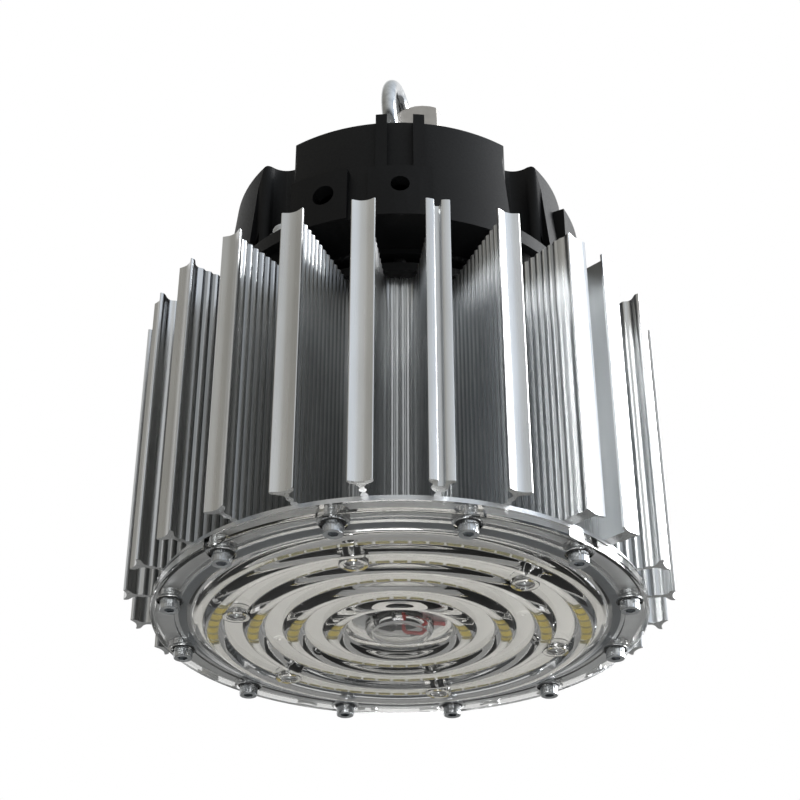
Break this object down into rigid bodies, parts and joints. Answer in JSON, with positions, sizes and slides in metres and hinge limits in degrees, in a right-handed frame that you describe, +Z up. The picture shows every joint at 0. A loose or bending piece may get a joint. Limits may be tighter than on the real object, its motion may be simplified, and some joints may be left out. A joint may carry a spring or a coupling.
{
  "type": "high bay light",
  "caption": "Hanging high bay lamp: finned round heat sink over a ringed clear lens, with a black driver housing, lug and hanging ring above.",
  "frame": {"origin": "on the lamp's axis, in the plane of the screw heads under the lens, at the bottom of the bounding box", "axes": "+Z up the axis to the hanging ring; -Y the front, with the two upright ribs of the driver housing"},
  "size_m": [0.2392, 0.2392, 0.315],
  "materials": {
    "extruded_aluminium": "extruded, mill finish",
    "plate_aluminium": "rolled sheet",
    "board_white": "white solder mask",
    "led_phosphor": "phosphor under silicone",
    "clear_polycarbonate": "clear moulded, glossy",
    "seal_rubber": "matt",
    "plated_steel": "zinc plated",
    "red_insulation": "silicone insulation",
    "black_insulation": "silicone insulation",
    "black_coating": "black powder coat",
    "black_housing": "black powder coat on die casting",
    "driver_case": "drawn aluminium case",
    "terminal_plastic": "moulded",
    "cast_zinc": "cast, blasted"
  },
  "bodies": {
    "root": {"heat_sink": "extruded_aluminium", "base_plate": "plate_aluminium", "led_board": "board_white", "led_ring_1": "led_phosphor", "led_ring_2": "led_phosphor", "led_ring_3": "led_phosphor", "led_ring_4": "led_phosphor", "lens": "clear_polycarbonate", "lens_gasket": "seal_rubber", "rim_screws": "plated_steel", "rim_washers": "seal_rubber", "rim_nuts": "plated_steel", "boss_screws": "plated_steel", "boss_plugs": "clear_polycarbonate", "boss_nuts": "plated_steel", "board_screws": "plated_steel", "plate_screws": "plated_steel", "wire_grommet": "seal_rubber", "lead_red": "red_insulation", "lead_black": "black_insulation", "mounting_plate": "black_coating", "housing_spacers": "black_coating", "driver_housing": "black_housing", "housing_screws": "black_coating", "earth_stud": "plated_steel", "housing_base": "black_housing", "housing_gasket": "seal_rubber", "base_screws": "plated_steel", "driver_module": "driver_case", "terminal_block": "terminal_plastic", "hanging_lug": "cast_zinc", "hanging_ring": "plated_steel", "hanger_washer": "plated_steel", "hanger_nut": "plated_steel"}
  },
  "joints": []
}
